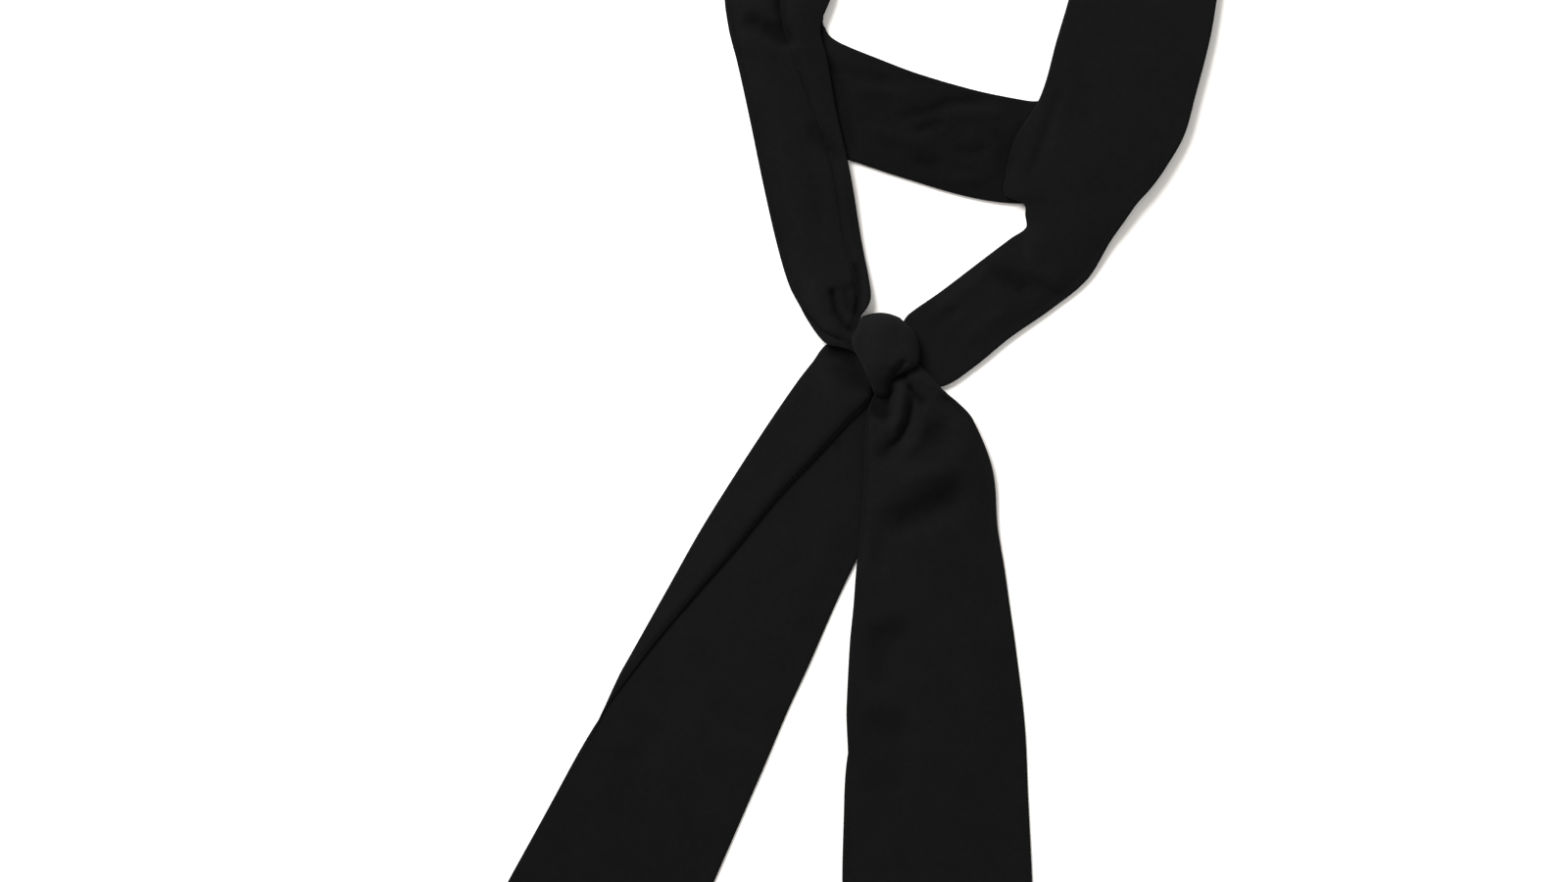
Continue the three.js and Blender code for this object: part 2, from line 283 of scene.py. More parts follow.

# The gathered tail from its end up to the knot, and on as the left strand to the hidden right side.
# The rows' painted shading puts a little painted light on the gathered tail and painted shade up the
# left strand.
FRONT_ROWS = table(
    "lx ly lz rx ry rz left_fold crown left_below right_below pleat pull",
    (-22, -314, ON_ONE, 80, -314, ON_TABLE),
    (-23, -282, ON_ONE, 79, -282, ON_TABLE),
    (-22, -240, ON_ONE, 77, -240, ON_TABLE, 0, 1.0),
    (-21, -198, ON_ONE, 75, -198, ON_TABLE, -3, 1.6),
    (-19, -156, ON_ONE, 70, -156, ON_TABLE, -8, 2.0),
    (-17, -135, 3.0, 67, -135, ON_TABLE, -11, 2.6, 0, 0, 0, 0.3),
    (-15.4, -114, 4.0, 64, -114, 1.0, -14, 3.4, 0.8, 0, 0, 0.3),
    (-13, -93, 4.1, 60.5, -93, 1.8, -16, 4.4, LAYER, 0, 0, 0.2),
    (-11, -63, 4.2, 57.5, -61, 3.0, -20, 5.2, 2.0, 0.4, 0.2),
    (-10.8, -47, 4.5, 47, -34.6, 3.6, -18, 5.2, 2.4, 0.8, 0.4),
    (-10.2, -37, 4.9, 39.5, -26, 4.0, -16, 4.8, 2.6, 1.2, 0.8),
    (-8.8, -28, 5.1, 31, -19, 4.8, -13, 4.6, 2.6, 1.6, 0.8),
    (-4.4, -20, 5.3, 22, -9.4, 5.4, -8, 3.6, 2.6, LAYER, 0.4),
) + table(
    "lx ly lz rx ry rz right_fold crown left_below pull right_below left_fold",
    (1, -14, 5.2, 15, -2, 5.6, 1, 1.6, LAYER, 0, 0, -3),
    (-6, -9, 5.6, 7, 4, 5.6, 2, 1.6, LAYER),
    (-17.6, 1.8, 6.4, -7, 12, 6.0, 1.5, 1.8, LAYER),
    (-25, 4.2, 6.4, -11.8, 16.6, 6.0, 2, 2.0, LAYER),
    (-31.5, 5.8, 5.6, -13, 21, 5.8, 3.2, 2.6, LAYER),
    (-38, 13, 4.0, -9.6, 25.6, 5.0, 5, 3.2),
    (-44.6, 24, 2.8, -7.6, 31, 4.2, 5.8, 3.2),
    (-51.4, 37, 1.8, -8.6, 40.5, 3.2, 6.4, 2.8),
    (-58, 59, 1.2, -12.6, 61, 2.0, 7.6, 2.4, 0, -0.2),
    (-65.8, 93, ON_TWO, -18.4, 96, ON_TWO, 7.4, 1.8, 0, -0.3, 2 * LAYER),
) + table(
    "lx ly lz rx ry rz right_fold crown rise pull",
    (-72.8, 127, ON_TWO, -26, 130, ON_TWO, 10.4, 2.2, 0, -0.4),
    (-79.2, 156, 4.4, -31, 158, 4.4, 15.8, 3.2, 0.2, -0.4),
    (-84, 175, 4.8, -34.8, 175, 4.8, 18.4, 4.0, 0.5, -0.4),
    (-86.4, 196, 4.4, -28.2, 194, 4.4, 27, 3.0, 0.8, -0.3),
    **OVER_TWO,
)
FRONT_ROWS += NAPE.rows((170, 0, 61, 28), lz=ON_TWO, rz=ON_TWO, crown=1.0, **OVER_TWO)
FRONT_ROWS += NAPE.rows((155, 0, 56, 28, 3.8, 4.2), (142, 0, 49, 28, 2.6, 4.3))
FRONT_ROWS += NAPE.rows((129, 0, 42, 28, ON_TABLE, 3.6), (116, 0, 38, 28, ON_TABLE, 2.4))
FRONT_ROWS += NAPE.rows(
    (100, 0, 37, 28),
    (80, 0, 37, 28),
    (60, 1, 39, 30),
    (40, 3, 45, 32),
    (20, 6, 51, 34),
    (0, 8, 56, 36),
    **FLAT,
) + table("lx ly rx ry right_fold", (164, 190.4, 108, 190.4, 40), **FLAT)

# The throat band from its hidden right end, then round the nape as the right strand and behind the knot.
# The rows' painted shading darkens the throat band, where it lies low between the strands, and the right
# strand a little.
BACK_ROWS = table(
    "lx ly rx ry left_fold crown pull right_fold",
    (164, 190, 108, 190, -42),
    (162, 172, 102, 166, -40),
    (158, 145, 94, 149, -38),
    (148, 119, 89, 141, -38),
    (130, 97, 86, 138, -38),
    (103, 83, 81, 136, -38),
    (72, 81, 72, 137, -38, 0.4, -1.0),
    (45, 84.6, 48, 142, -38, 2.0, -1.3),
    (11, 94.4, 17, 151, -38, 2.0, -1.3),
    (-11, 101.6, -4, 159, -38, 0.8, -1.2),
    (-34, 110, -19, 165, -36, 0, -0.8),
    (-57, 125, -27, 169, -34),
    (-69, 149, -31, 173, -32),
    (-76, 170, -33, 181, -28),
    (-79, 193, -33, 193, -16, 0, 0, -16),
    **OVER_ONE,
) + NAPE.rows(
    (170, 9, 47, -32),
    (155, 20, 45, -32),
    (142, 33, 38, -30),
    (129, 44, 32, -28),
    (116, 41, 38, -28),
    (100, 41, 40, -28),
    **OVER_ONE,
) + NAPE.rows(
    (80, 41, 40, -28, 2.8, ON_ONE),
    (64, 37, 43, -28, 4.0, ON_ONE),
    (50, 28, 51, -26, ON_THREE, 3.0),
    (25, 8, 70, -20, ON_THREE, 3.6),
    (5, 0, 78, -14, ON_THREE, ON_THREE),
) + table(
    "lx ly rx ry rz right_fold crown right_below",
    (178, 193, 99, 193, ON_THREE, -12, 0.3),
    (174, 169, 92, 169, ON_THREE, -12, 0.9, 2 * LAYER),
    (166, 138, 83, 138, 5.6, -11, 1.6, 2 * LAYER),
    (160, 117, 69.4, 115, 5.6, -10, 2.0, 2 * LAYER),
    (149.6, 99, 64.4, 95, 5.6, -10, 2.0, 2 * LAYER),
    (142, 88.6, 64.4, 85.4, 5.6, -12, 1.8, 2 * LAYER),
    (135, 81, 74, 81, ON_THREE, -18, 1.6),
    lz=ON_THREE,
    pull=-0.2,
) + table(
    "lx ly lz rx ry rz right_fold crown pull",
    (128, 71, 4.8, 75, 74.6, ON_THREE, -19, 1.8, -0.1),
    (121, 61, 4.0, 75.4, 68, ON_THREE, -20, 2.0),
    (109, 41, ON_ONE, 67, 62, 4.6, -22, 3.0),
    (90, 25, ON_ONE, 51, 50, ON_ONE, -22, 2.8),
    (67, 9, ON_ONE, 30, 34, ON_ONE, -22, 1.6),
    (46, -8, ON_ONE, 13, 22, ON_ONE, -22, 0.3),
    (31, -17, ON_ONE, 9, 17, ON_ONE, -20),
    (14, -16, ON_ONE, 4.6, 15, ON_ONE, -16),
)

# The turn round the knot: up from behind it, over the top, down the front and in again.
# The rows' painted shading puts a painted highlight on the dome's face and painted shade where it turns
# under at the top and the bottom.
TURN_ROWS = table(
    "lx ly lz rx ry rz turn pull left_fold right_fold crown swell",
    (-10, 6, 4.0, 10, 6, 4.0, 180),
    (-10, 13, 4.2, 12, 13, 4.2, 180, 1.0),
    (-11, 18.6, 5.6, 9, 18.2, 5.6, 130, -1.4, -2, -2, 0.9),
    (-12.4, 20.4, 8.4, 8.4, 19.6, 8.2, 90, -1.2, -3, -3, 1.9),
    (-14, 18, 10.0, 11.6, 16, 9.0, 34, 1.1, -4, -4, 3.8, 0.6),
    (-15.8, 13, 10.0, 15.2, 11.6, 8.4, 12, 1.2, -5, -5, 5.4, 0.9),
    (-18.2, 7.4, 9.4, 17.8, 5.8, 7.6, 0, 1.2, -5, -5, 6.2, 1.0),
    (-16, 1.2, 9.4, 18.2, -0.4, 7.6, 0, 1.2, -5, -5, 6.4, 1.0),
    (-12.8, -4.6, 9.2, 16.4, -5.6, 8.0, 0, 1.0, -5, -5, 6.0, 1.0),
    (-11.4, -7.6, 9.0, 11.4, -8.4, 8.2, -4, 0.6, -5, -5, 5.2, 1.0),
    (-9.8, -11.4, 8.6, 5.8, -11.8, 8.6, -10, -0.2, -4, -4, 4.2, 0.9),
    (-8.2, -15.6, 7.8, 4.2, -16, 8.0, -24, -0.8, -3, -3, 3.0, 0.8),
    (-7, -19.6, 6.4, 3.6, -20.2, 6.6, -50, -1.6, -3, -3, 2.2, 0.6),
    (-6.6, -21.2, 4.4, 3.2, -21.6, 4.6, -78, -2.0, -2, -2, 1.0),
)

# The folded tail from the knot to its end. Its left edge, looking up at the knot, is on the right here.
# The rows' painted shading makes it a little darker towards its end.
TAIL_ROWS = table(
    "lx ly rx ry left_fold crown rise pull",
    (-9, 19, 14, -15, 22, 0.8, 0.4),
    (-31.4, 5.6, 5, -24, 33, 2.2, 1.2),
    (-39, -4, 3, -37, 35.4, 2.8, 2.0),
    (-46.8, -14, 2, -50, 34, 2.2, 2.2),
    (-62, -36, 0, -77, 30.4, 0.8, 2.2),
    (-79, -62, -11.5, -102, 25, 0.8, 2.0),
    (-99, -94, -26.5, -134, 20, 0.8, 1.8),
    (-117, -126, -40.5, -166, 12.5, 0.8, 1.4),
    (-131, -151, -52.5, -192, 7, 0.8, 0.8),
    (-145.5, -177, -63.5, -218, 3),
    (-173.5, -230, -87, -272, 0, 0, 0, -0.4),
    (-202, -282, -111, -327, 0, 0, 0, -0.4),
    (-209, -295, -117, -340, 0, 0, 0, -0.4),
    **FLAT,
)

FRONT_CREASES = creases(
    # the left strand by the knot: a pocket between its two rolled sides
    (-4.6, 2.2, 0.16, (-28.6, 37), (-27.4, 30), (-26, 22.6), (-22, 15), (-15.5, 10.5)),
    (-5.0, 2.3, 0.22, (-15.8, 51), (-14.2, 40), (-13.6, 32), (-14.4, 24), (-16.2, 15)),
    (-2.2, 4.0, 0.3, (-21, 40), (-20, 30), (-18, 18)),
    (1.8, 3.4, 0.3, (-40, 42), (-37, 30), (-28.6, 15.4), (-20, 9.4)),
    (-2.2, 1.3, 0.14, (-45, 25), (-33.6, 12.4), (-22.1, 6.6)),
    (0.8, 1.5, 0.2, (-42, 19), (-33, 9), (-24, 5)),
    # higher up on it: the pinch below the neck, and the soft dip where it crosses the throat band
    (-4.2, 4.2, 0.3, (-77, 181.4), (-66, 176), (-58, 171), (-50.6, 164)),
    (-2.6, 3.8, 0.3, (-66, 177), (-56, 171), (-49, 163.6)),
    (1.0, 5.0, 0.3, (-80, 172), (-66, 164), (-56, 158)),
    (1.4, 4.6, 0.3, (-78, 200), (-64, 190), (-58, 184)),
    (-4.0, 2.8, 0.16, (-54, 208), (-55.6, 186), (-53.4, 174), (-48, 163)),
    # along the free edge of its fold, a groove that paints shade over the edge's lit rim
    (-1.3, 1.3, 0.05, (-48, 162), (-44.6, 150), (-39.4, 136.4), (-35, 124), (-28.8, 104),
     (-25.4, 92), (-21, 62), (-17.8, 52), (-15.2, 42)),
    (-4.0, 4.4, 0.36, (-42, 124), (-32, 113.4), (-21, 103)),
    (1.0, 6.0, 0.3, (-62, 150), (-54, 110), (-44, 70), (-36, 46)),
    (-0.8, 4.0, 0.3, (-46, 118), (-37, 88), (-30, 60)),
    # the gathered tail: the roll by the lower band, the two pleats and the hollow between them
    (3.2, 2.8, 0.3, (14, -7), (20, -12.6), (27, -18.6), (34, -26)),
    (-4.4, 2.0, 0.3, (10.6, -14), (15.4, -20.6), (23, -29.4)),
    (2.6, 2.4, 0.25, (9.2, -13), (9, -22), (7.2, -34), (2.8, -44)),
    (-3.6, 2.0, 0.26, (12.6, -19), (14, -26), (12.6, -35.8), (8, -45.4), (-1, -52.6)),
    (-4.6, 2.6, 0.24, (4.6, -15), (2, -23), (0.4, -30), (-1, -39)),
    (-4.0, 4.6, 0.3, (-5, -18), (-4, -27), (-2.4, -37)),
    (-3.2, 3.6, 0.35, (-6.4, -21), (-3.4, -28), (1.2, -36)),
    (-3.0, 2.1, 0.1, (-8.8, -26), (-11, -40), (-11.2, -63), (-13, -93), (-15.2, -116)),
    (-3.6, 3.4, 0.3, (2, -11), (8, -11.4), (13, -9.6)),
    (0.9, 2.4, 0.3, (-7, -27), (-8, -40), (-6.4, -56)),
    (-3.0, 4.4, 0.45, (8, -43), (2, -52), (-5, -61)),
    (1.4, 3.4, 0.3, (21, -24), (21, -36), (16, -48), (8, -57)),
    (-2.3, 6.4, 0.45, (38, -37), (29, -43), (20, -52)),
    (1.6, 5.0, 0.3, (37, -32), (42, -46), (42, -60)),
    (1.8, 5.6, 0.3, (4, -69), (24, -64), (45, -58)),
    (-5.0, 7.4, 0.34, (48, -65), (34, -77), (17, -85), (1, -91), (-8, -99)),
    (-1.8, 4.6, 0.4, (-2, -92), (-2.4, -106), (-4, -122)),
    (-2.8, 6.4, 0.4, (-13, -149), (0, -151), (18, -145)),
    (-1.5, 6.0, 0.4, (1, -146), (-2, -164), (-4, -184)),
    (-2.4, 8.0, 0.4, (-13, -193), (0, -199), (16, -200)),
    (-1.4, 8.0, 0.4, (-16, -227), (0, -229), (16, -227)),
    (0.8, 9.0, 0.3, (14, -160), (20, -190), (30, -230)),
    (0.8, 12.0, 0.3, (40, -120), (52, -180), (50, -240)),
)
FRONT_CREASES += NAPE.puckers((163, 151, 141, 127, 118, 104, 92, 79, 70, 55, 43, 30, 17), 44, 30, 0.9)
FRONT_CREASES += NAPE.puckers((156, 134, 111, 86, 62, 37), 16, 22, 0.6)

BACK_CREASES = creases(
    # the roll along the right strand's inner side, over the throat band
    (-1.3, 2.8, 0.3, (97, 150), (88, 124), (80, 102), (75, 86)),
    (-1.5, 1.4, 0.12, (74, 125), (69.4, 114), (64.6, 96), (64.2, 86)),
    (-0.8, 2.6, 0.2, (68, 121), (62.4, 106), (60.4, 90)),
    # the dip by the bend of the lower band, and two long soft forms of the right strand
    (-3.8, 5.0, 0.4, (52, 46), (64, 41), (75, 36), (84, 32)),
    (0.9, 8.0, 0.3, (150, 120), (134, 84), (112, 58)),
    (-0.8, 9.0, 0.3, (112, 180), (106, 140), (104, 110)),
    # soft wrinkles along the throat band, and the dip by the left strand's edge, which paints the
    # strand's shadow on the band
    (-2.4, 3.4, 0.2, (-30, 163), (-26, 149), (-21, 125), (-17, 105)),
    (-1.0, 3.4, 0.3, (-28, 153), (-14, 149.4), (0, 147), (12, 142)),
    (1.1, 3.4, 0.3, (-20, 143), (2, 141), (20, 137)),
    (-2.0, 2.8, 0.3, (0, 126), (14, 128.4), (24, 131), (34, 135.4), (47, 136), (60, 133.6)),
    (-1.6, 3.0, 0.3, (13, 118.6), (22, 121), (33, 126)),
    (1.2, 3.6, 0.3, (30, 128), (52, 130), (68, 129)),
    (-1.6, 3.0, 0.3, (56, 122), (66, 112), (66, 96)),
    (1.2, 4.4, 0.3, (-14, 122), (8, 116), (30, 110)),
    (-1.8, 2.8, 0.3, (15, 105), (22, 101.6), (31, 103)),
    (1.0, 3.2, 0.3, (24, 96), (42, 93), (56, 96)),
    (-1.2, 2.8, 0.3, (34, 110), (46, 108), (58, 112)),
    # the lower band
    (1.0, 4.0, 0.3, (60, 48), (42, 34), (26, 22)),
    (-1.2, 3.0, 0.3, (42, 26), (32, 20), (24, 12)),
    (0.8, 5.0, 0.3, (70, 26), (54, 16), (38, 4)),
)
BACK_CREASES += NAPE.puckers((147, 133, 122, 109, 98, 86, 73, 61, 49, 36, 24, 12), 78, 34, 1.0)
# the right strand laid over the lower band at the bend
BEND = ((75.5, 72), (75.5, 53.7), (76.8, 44.7), (82.1, 40), (91, 34.7), (99, 31))
BACK_CREASES += (Crease(BEND, 2.6, 1.5, Kind.STEP, reach=12.0, fade=0.22),)

TURN_CREASES = creases(
    # the deep fold at the lower right, and the face's slight dents
    (-2.6, 1.9, 0.2, (2.4, -22), (2.8, -15), (5, -9.4), (9.4, -4.8), (13, -3.4)),
    (-0.6, 3.0, 0.3, (-11, 18), (-13, 6), (-10, -6)),
    (-0.6, 3.2, 0.3, (4, 18), (7, 8), (6, 0)),
    (0.5, 4.0, 0.3, (-4, 20), (-4, 6), (-3, -14)),
    # the roll that its top edge goes back over
    (-2.6, 1.7, 0.3, (-11, 20), (-4, 22.6), (3, 22.4), (9, 19.4)),
)

TAIL_CREASES = creases(
    # the hollow under the left strand, which paints its shade too, the fork by the flap's edge, and soft
    # swells
    (-6.4, 3.0, 0.2, (-33, 3.6), (-24, 0.6), (-14, -5.6)),
    (-3.6, 4.8, 0.3, (-18, -4), (-13, -13), (-10, -24)),
    (-2.4, 6.0, 0.3, (-26, -3), (-20, -11), (-14, -20)),
    (0.8, 5.0, 0.3, (-30, -12), (-24, -24), (-16, -32)),
    (-0.8, 1.8, 0.3, (-26.3, -45), (-22.6, -55)),
    (0.7, 7.0, 0.3, (-40, -6), (-52, -24), (-70, -52)),
    (0.7, 9.0, 0.3, (-14, -70), (-30, -100), (-44, -130)),
    (0.8, 13.0, 0.3, (-92, -170), (-110, -210), (-128, -250)),
    (-0.6, 10.0, 0.3, (-120, -180), (-134, -214), (-150, -246)),
)


def normals(points: Array) -> Array:
    """Return the normals of a surface from its grid of points."""
    normal = np.cross(np.gradient(points, axis=1), np.gradient(points, axis=0))
    return normal / np.maximum(np.linalg.norm(normal, axis=2, keepdims=True), TINY)


@dataclass
class Strip:
    """A stretch of the cloth with its two side edges, folds, creases and walls."""

    name: str
    rows: tuple[Section, ...]
    creases: tuple[Crease, ...]
    fine: float = 1.1
    coarse: float = 1.8
    pleats: int = 3
    flap_points: int = 11
    bend_points: int = 6
    panel_points: int = 43
    curl_width: float = 4.0  # a fold at least this wide turns fully over
    groove: float = 0.35  # how far a flap presses in along its free edge
    groove_fold: float = 6.0  # a flap at least this wide does so fully
    groove_rise: float = 0.8  # the share of its rise that a flap loses there
    groove_width: float = 2.2
    under_least: float = 2.0  # a fold under at least this wide is a layer of its own
    under_extra: float = 4.0  # how far past its free edge it holds the cloth up
    hem_sides: bool = True
    hem_at_start: bool = False
    hem_at_end: bool = False
    ripple: Ripple = field(default_factory=Ripple)

    def stops(self, at: Array, middle: Array) -> Array:
        """Return where along the strip its sections are cut, closer together near the knot.

        Args:
            at: each row's distance along the strip.
            middle: each row's middle point.

        Returns:
            The sections' distances along the strip.
        """
        along = np.linspace(0.0, at[-1], STEPS)
        away = np.hypot(np.interp(along, at, middle[:, 0]), np.interp(along, at, middle[:, 1]))
        step = self.fine + (self.coarse - self.fine) * smooth((away - KNOT_REACH) / KNOT_REACH)
        count = np.concatenate([[0.0], np.cumsum(np.diff(along) / step[1:])])
        return np.interp(np.linspace(0.0, count[-1], int(count[-1]) + 1), count, along)

    def sections(self) -> dict[str, Array]:
        """Return the rows smoothed into close sections.

        Returns:
            Each column's values, with the distance along the strip as one more column.
        """
        table = np.array([[r.get(c, 0.0) for c in COLUMNS] for r in self.rows])
        middle = (table[:, 0:3] + table[:, 3:6]) / 2
        at = np.concatenate([[0.0], np.cumsum(np.linalg.norm(np.diff(middle, axis=0), axis=1))])
        before = np.maximum(np.arange(len(at)) - 1, 0)
        after = np.minimum(np.arange(len(at)) + 1, len(at) - 1)
        slope = (table[after] - table[before]) / (at[after] - at[before])[:, None]
        place = self.stops(at, middle)
        i = np.clip(np.searchsorted(at, place, side="right") - 1, 0, len(at) - 2)
        span = (at[i + 1] - at[i])[:, None]
        t = (place - at[i])[:, None] / span
        rise = table[i + 1] - table[i]
        out, into = slope[i] * span, slope[i + 1] * span
        value = table[i] + out * t + (3 * rise - 2 * out - into) * t**2 + (out + into - 2 * rise) * t**3
        columns = {c: value[:, k] for k, c in enumerate(COLUMNS)}
        columns["along"] = place
        return columns

    def swell(self, share: Array, section: Section) -> Array:
        """Return how far the panel stands above the line between its edges.

        Args:
            share: places across the panel, from 0 to 1.
            section: the section's columns.

        Returns:
            The heights, in millimetres.
        """
        inside = np.clip(share, 0.0, 1.0)
        arch = np.clip(1.0 - (2.0 * inside - 1.0) ** 2, 0.0, 1.0) ** (1.0 - 0.5 * section["swell"])
        return section["crown"] * arch + section["pleat"] * np.sin(math.pi * self.pleats * inside) ** 2

    def edge_points(self, fold: float, end: float, width: float, section: Section) -> Array:
        """Return the bend and the flap beyond the panel's end at one side.

        Args:
            fold: width folded over, below 0 where it is folded under.
            end: how far the panel's end lies from the outline.
            width: of the section.
            section: the section's columns.

        Returns:
            A row for each point: in from the outline, up, and the distance from the free edge.
        """
        size, way = abs(fold), math.copysign(1.0, fold)
        curl = smooth(size / self.curl_width)
        count = self.bend_points + self.flap_points
        begin = math.pi / 2 * section["swell"]
        turn = begin + (math.pi - begin) * np.arange(1, self.bend_points + 1) / self.bend_points
        drop = LAYER / 2 * (np.cos(begin) - np.cos(turn))
        stops = np.linspace(0.0, 1.0, self.flap_points + 1)[1:] * size
        start = end + LAYER / 2 * math.sin(begin)
        inward = np.concatenate([start - LAYER / 2 * np.sin(turn), start + stops])
        rise = np.zeros(len(stops))
        if way > 0:
            dip = self.groove * smooth(size / self.groove_fold) + self.groove_rise * section["rise"]
            near = np.exp(-(((size - stops) / self.groove_width) ** 2))
            rise = section["rise"] * np.linspace(0.0, 1.0, len(stops)) - dip * near
        height = np.concatenate([way * drop, way * drop[-1] + rise])
        if way > 0:
            height = height + self.swell((inward - end) / max(width - 2 * end, 1.0), section)
        level = end * (1.0 - np.arange(1, count + 1) / count)
        free = np.concatenate([np.full(self.bend_points, size), size - stops])
        columns = [level + curl * (inward - level), curl * height, free * curl + level * (1 - curl)]
        return np.stack(columns, axis=1)

    def section_line(self, width: float, section: Section) -> Array:
        """Return one section's middle line.

        Args:
            width: from the left outline to the right one.
            section: the section's columns.

        Returns:
            A row for each point: across, up, and the distance from the nearer free edge.
        """
        folds = section["left_fold"], section["right_fold"]
        bend = LAYER / 2 * (1.0 - section["swell"]) + WALL / 2
        ends = [HEM + smooth(abs(fold) / self.curl_width) * (bend - HEM) for fold in folds]
        room = min(1.0, width / 3 / max(ends))  # a third of the width at least stays for the panel
        ends = [end * room for end in ends]
        left, right = (self.edge_points(fold, end, width, section) for fold, end in zip(folds, ends))
        right[:, 0] = width - right[:, 0]
        panel = width - ends[0] - ends[1]
        free_left, free_right = (max(abs(fold), end) for fold, end in zip(folds, ends))
        share = np.linspace(0.0, 1.0, self.panel_points)
        free = np.minimum(free_left + share * panel, free_right + (1 - share) * panel)
        middle = np.stack([ends[0] + share * panel, self.swell(share, section), free], axis=1)
        return np.concatenate([left[::-1], middle, right])

    def sink(self, width: float, across: Array, section: Section) -> Array:
        """Return how far each point of a section may sink before the cloth meets the table.

        Args:
            width: from the left outline to the right one.
            across: the points' places, from the left outline.
            section: the section's columns.

        Returns:
            The depths, in millimetres.
        """
        share = np.clip(across / width, 0.0, 1.0)
        level = section["lz"] + share * (section["rz"] - section["lz"]) + self.swell(share, section)
        below = section["left_below"] + share * (section["right_below"] - section["left_below"])
        for fold, inward in ((section["left_fold"], across), (section["right_fold"], width - across)):
            if fold < -self.under_least:
                below = below + LAYER * (inward < self.under_extra - fold)
        return np.maximum(level - ON_TABLE - below, 0.0)

    def middle_surface(self) -> tuple[Array, Array, Array]:
        """Return the surface in the middle of the cloth.

        Returns:
            Its grid of points, their distances from a cut edge, and the sections' distances along.
        """
        columns = self.sections()
        grid, edge, room = [], [], []
        for k in range(len(columns["along"])):
            section = {c: float(columns[c][k]) for c in COLUMNS}
            left = np.array([section[c] for c in PLACE[:3]])
            right = np.array([section[c] for c in PLACE[3:]])
            across = right - left
            width = float(np.linalg.norm(across))
            across /= width
            level = np.array([-across[1], across[0], 0.0])
            level /= np.linalg.norm(level)
            up = np.array([0.0, 0.0, 1.0]) - across * across[2]
            up /= np.linalg.norm(up)
            turn = math.radians(section["turn"])
            up = up * math.cos(turn) + level * math.sin(turn)
            line = self.section_line(width, section)
            grid.append(left + line[:, :1] * across + line[:, 1:2] * up)
            edge.append(line[:, 2])
            room.append(self.sink(width, line[:, 0], section))
        points, free = np.array(grid), np.array(edge)
        x, y = points[..., 0], points[..., 1]
        lift = self.relief(x, y)
        most = np.maximum(np.array(room), LEAST_SINK)
        dent = -most * np.tanh(np.maximum(-lift, 0.0) / most)
        points[..., 2] += np.where(lift < 0.0, dent, lift) + self.ripple.lift(x, y)
        return points, free, columns["along"]

    def relief(self, x: Array, y: Array) -> Array:
        """Return how far all the creases together lift the cloth at each place."""
        return sum(crease.lift(x, y) for crease in self.creases)

    def wall(self, free: Array, along: Array) -> Array:
        """Return the cloth's thickness at each point, more at the hems and less at their very edges.

        Args:
            free: the points' distances from a cut edge.
            along: the sections' distances along the strip.

        Returns:
            The thicknesses, in millimetres.
        """
        hem = (1.0 - smooth((free - HEM) / EDGE_EASE)) * float(self.hem_sides)
        ends = np.zeros(along.shape)
        for hemmed, far in ((self.hem_at_start, along - along[0]), (self.hem_at_end, along[-1] - along)):
            ends = np.maximum(ends, hemmed * (1.0 - smooth((far - END_HEM) / END_EASE)))
        edge = EDGE_SHARE + (1.0 - EDGE_SHARE) * smooth(free / EDGE_EASE) if self.hem_sides else 1.0
        return (WALL + HEM_EXTRA * np.maximum(hem, ends[:, None])) * edge

    def laid(self) -> tuple[Array, Array, Array, Array]:
        """Return the middle surface, lifted clear of the table.

        Returns:
            Its points, its normals, and the distances from a cut edge and along the strip.
        """
        points, free, along = self.middle_surface()
        normal = normals(points)
        half = self.wall(free, along) / 2 * np.abs(normal[..., 2])
        points[..., 2] = np.maximum(points[..., 2], half + CLEAR)
        return points, normal, free, along

    def geometry(self) -> tuple[Array, Array, Array]:
        """Return the closed mesh of the stretch.

        Returns:
            Its vertices in metres, its faces, and each vertex's place on the flat cloth, in metres.
        """
        points, normal, free, along = self.laid()
        half = normal * self.wall(free, along)[..., None] / 2
        vertices = np.stack([points + half, points - half], axis=2)
        steps = np.linalg.norm(np.diff(points, axis=1), axis=2)
        across = np.concatenate([np.zeros((len(points), 1)), np.cumsum(steps, axis=1)], axis=1)
        across -= across[:, -1:] / 2
        flat = np.stack([across, np.repeat(along[:, None], across.shape[1], axis=1)], axis=2)
        flat = np.repeat(flat[:, :, None, :], 2, axis=2)
        return vertices.reshape(-1, 3) * MM, shell_faces(*points.shape[:2]), flat.reshape(-1, 2) * MM

    def pull(self) -> Array:
        """Return the light and shade painted into the cloth's colour, darker in the creases' valleys and
        lighter on their ridges.

        Returns:
            A value for each of geometry's vertices, below 0 where shade is painted and above 0 where
            light is.
        """
        points, _, _ = self.middle_surface()
        lift = self.relief(points[..., 0], points[..., 1])
        pull = self.sections()["pull"][:, None] + np.where(lift < 0.0, CREASE_SHADE, RIDGE_LIGHT) * lift
        return np.repeat(np.clip(pull, *SHADING_RANGE).ravel(), 2)

    def hem_lines(self) -> list[Array]:
        """Return the lines that the hem's thread follows.

        Returns:
            The points of each line in metres, along both sides and on both faces of the cloth.
        """
        points, normal, free, _ = self.laid()
        rows = np.arange(len(points))
        lines = []
        for order in (slice(None), slice(None, None, -1)):
            far, p, n = free[:, order], points[:, order], normal[:, order]
            inner = np.maximum(np.argmax(far >= SEAM, axis=1), 1)
            d0, d1 = far[rows, inner - 1], far[rows, inner]
            t = np.clip((SEAM - d0) / np.maximum(d1 - d0, TINY), 0.0, 1.0)[:, None]
            place = p[rows, inner - 1] * (1 - t) + p[rows, inner] * t
            facing = n[rows, inner - 1] * (1 - t) + n[rows, inner] * t
            for side in (1.0, -1.0):
                line = place + side * facing * (WALL + HEM_EXTRA) * SEAM_DEPTH
                line[:, 2] = np.maximum(line[:, 2], SEAM_LEAST)
                lines.append(line * MM)
        return lines


